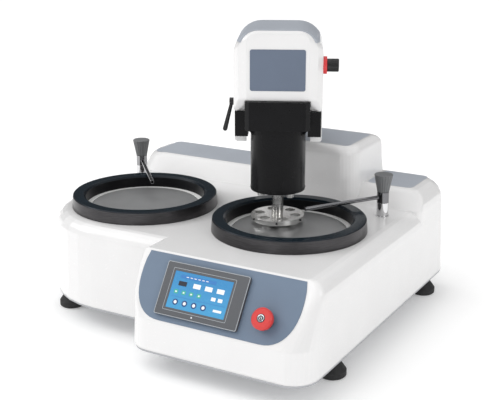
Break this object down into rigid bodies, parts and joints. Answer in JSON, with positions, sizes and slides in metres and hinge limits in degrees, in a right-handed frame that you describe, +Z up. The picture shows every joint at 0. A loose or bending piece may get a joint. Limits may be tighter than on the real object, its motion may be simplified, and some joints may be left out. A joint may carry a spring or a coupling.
{
  "type": "dual disc polishing machine",
  "caption": "Bench grinding and polishing machine with two turning discs, splash rings, swivel taps, a slanted console and a sample head on a column.",
  "frame": {"origin": "middle of the machine's bounding box, on the bench top", "axes": "+X to the machine's right as the operator sees it, +Y to its rear, +Z up; the console faces -Y"},
  "size_m": [0.7158, 0.6894, 0.599],
  "materials": {
    "shell_white": "smooth moulded, satin gloss",
    "inlay_grey": "fine matt grain",
    "fascia_blue": "satin printed film",
    "bezel_grey": "fine matt",
    "screen": "glossy lit display",
    "stop_red": "glossy moulded",
    "ring_black": "glossy moulded, blue-black",
    "bowl_white": "smooth moulded",
    "disc_metal": "turned, satin",
    "aluminium": "machined",
    "steel": "ground",
    "chrome": "polished plating",
    "plate": "grey powder coat",
    "cast": "as cast, painted",
    "motor_black": "matt paint",
    "black_metal": "satin black coat",
    "black_plastic": "fine matt grain",
    "knob_grey": "satin moulded",
    "label_grey": "satin printed film",
    "rubber": "matt",
    "ring_red": "glossy moulded",
    "brass": "machined",
    "tube": "smooth translucent tube"
  },
  "bodies": {
    "base": {"base_plate": "plate", "body_cover": "shell_white", "support_frame": "plate", "top_inlays": "inlay_grey", "fascia_plate": "fascia_blue", "screen_housing": "bezel_grey", "screen_glass": "screen", "stop_collar": "bezel_grey", "stop_contacts": "black_plastic", "left_ring": "ring_black", "right_ring": "ring_black", "left_bowl": "bowl_white", "right_bowl": "bowl_white", "left_bearings": "steel", "right_bearings": "steel", "left_housing": "cast", "right_housing": "cast", "left_motor": "motor_black", "right_motor": "motor_black", "left_belt": "rubber", "right_belt": "rubber", "left_drain": "bezel_grey", "right_drain": "bezel_grey", "rubber_feet": "rubber", "foot_studs": "steel", "drive_unit": "motor_black", "rear_panel": "plate", "power_inlet": "black_plastic", "water_inlet": "brass", "water_tubes": "tube", "tap_posts": "chrome", "column": "chrome"},
    "left_platen": {"left_disc": "disc_metal", "left_turntable": "aluminium", "left_shaft": "steel", "large_pulley_left": "aluminium"},
    "right_platen": {"right_disc": "disc_metal", "right_turntable": "aluminium", "right_shaft": "steel", "large_pulley_right": "aluminium"},
    "left_rotor": {"small_pulley_left": "steel"},
    "right_rotor": {"small_pulley_right": "steel"},
    "stop_push": {"stop_button": "stop_red"},
    "rocker": {"power_switch": "black_plastic"},
    "left_swivel": {"left_spout": "chrome"},
    "right_swivel": {"right_spout": "chrome"},
    "left_tap": {"left_tap_knob": "knob_grey"},
    "right_tap": {"right_tap_knob": "knob_grey"},
    "head": {"head_frame": "black_metal", "head_cover": "shell_white", "head_trim": "inlay_grey", "head_label": "label_grey", "pressure_regulator": "ring_red"},
    "quill": {"press_cylinder": "black_metal", "head_motor": "motor_black"},
    "sample_drive": {"spindle": "steel", "sample_holder": "aluminium"},
    "pins": {"press_pins": "steel"},
    "knob": {"pressure_knob": "black_plastic"},
    "lever": {"clamp_lever": "black_plastic"}
  },
  "joints": [
    {"name": "left_disc_turn", "type": "hinge", "parent": "base", "child": "left_platen", "pos_m": [-0.175, -0.042, 0.204], "axis": [0, 0, 1], "continuous": true},
    {"name": "right_disc_turn", "type": "hinge", "parent": "base", "child": "right_platen", "pos_m": [0.166, -0.042, 0.204], "axis": [0, 0, 1], "continuous": true},
    {"name": "left_motor_turn", "type": "hinge", "parent": "base", "child": "left_rotor", "pos_m": [-0.175, 0.272, 0.104], "axis": [0, 0, 1], "continuous": true},
    {"name": "right_motor_turn", "type": "hinge", "parent": "base", "child": "right_rotor", "pos_m": [0.166, 0.272, 0.104], "axis": [0, 0, 1], "continuous": true},
    {"name": "stop_press", "type": "slide", "parent": "base", "child": "stop_push", "axis": [0, 0.8329, -0.5534], "range_m": [0, 0.004], "stiffness_N_per_m": 800, "springref_m": -0.002},
    {"name": "power_rock", "type": "hinge", "parent": "base", "child": "rocker", "pos_m": [-0.066, 0.309, 0.106], "axis": [-1, 0, 0], "range_deg": [0, 16]},
    {"name": "left_spout_swing", "type": "hinge", "parent": "base", "child": "left_swivel", "pos_m": [-0.301, 0.124, 0.252], "axis": [0, 0, 1], "range_deg": [-50, 40]},
    {"name": "right_spout_swing", "type": "hinge", "parent": "base", "child": "right_swivel", "pos_m": [0.292, 0.124, 0.252], "axis": [0, 0, 1], "range_deg": [0, 55]},
    {"name": "left_tap_turn", "type": "hinge", "parent": "base", "child": "left_tap", "pos_m": [-0.301, 0.124, 0.28], "axis": [0, 0, 1], "range_deg": [0, 90]},
    {"name": "right_tap_turn", "type": "hinge", "parent": "base", "child": "right_tap", "pos_m": [0.292, 0.124, 0.28], "axis": [0, 0, 1], "range_deg": [0, 90]},
    {"name": "head_swing", "type": "hinge", "parent": "base", "child": "head", "pos_m": [0.007, 0.226, 0.42], "axis": [0, 0, 1], "range_deg": [-7, 0]},
    {"name": "quill_lift", "type": "slide", "parent": "head", "child": "quill", "axis": [0, 0, 1], "range_m": [-0.0075, 0.045]},
    {"name": "holder_turn", "type": "hinge", "parent": "quill", "child": "sample_drive", "pos_m": [0.1284, -0.01964, 0.35], "axis": [0, 0, 1], "continuous": true},
    {"name": "pins_press", "type": "slide", "parent": "sample_drive", "child": "pins", "axis": [0, 0, -1], "range_m": [0, 0.008], "stiffness_N_per_m": 300, "springref_m": -0.008},
    {"name": "pressure_turn", "type": "hinge", "parent": "head", "child": "knob", "pos_m": [0.22337, 0.01391, 0.5285], "axis": [0.8965, 0.4431, 0], "range_deg": [-135, 135]},
    {"name": "clamp_swing", "type": "hinge", "parent": "head", "child": "lever", "pos_m": [0.05217, -0.06401, 0.4565], "axis": [-0.8965, -0.4431, 0], "range_deg": [0, 60]}
  ],
  "couplings": [
    {"joint": "left_motor_turn", "follows": "left_disc_turn", "ratio": 3},
    {"joint": "right_motor_turn", "follows": "right_disc_turn", "ratio": 3}
  ]
}
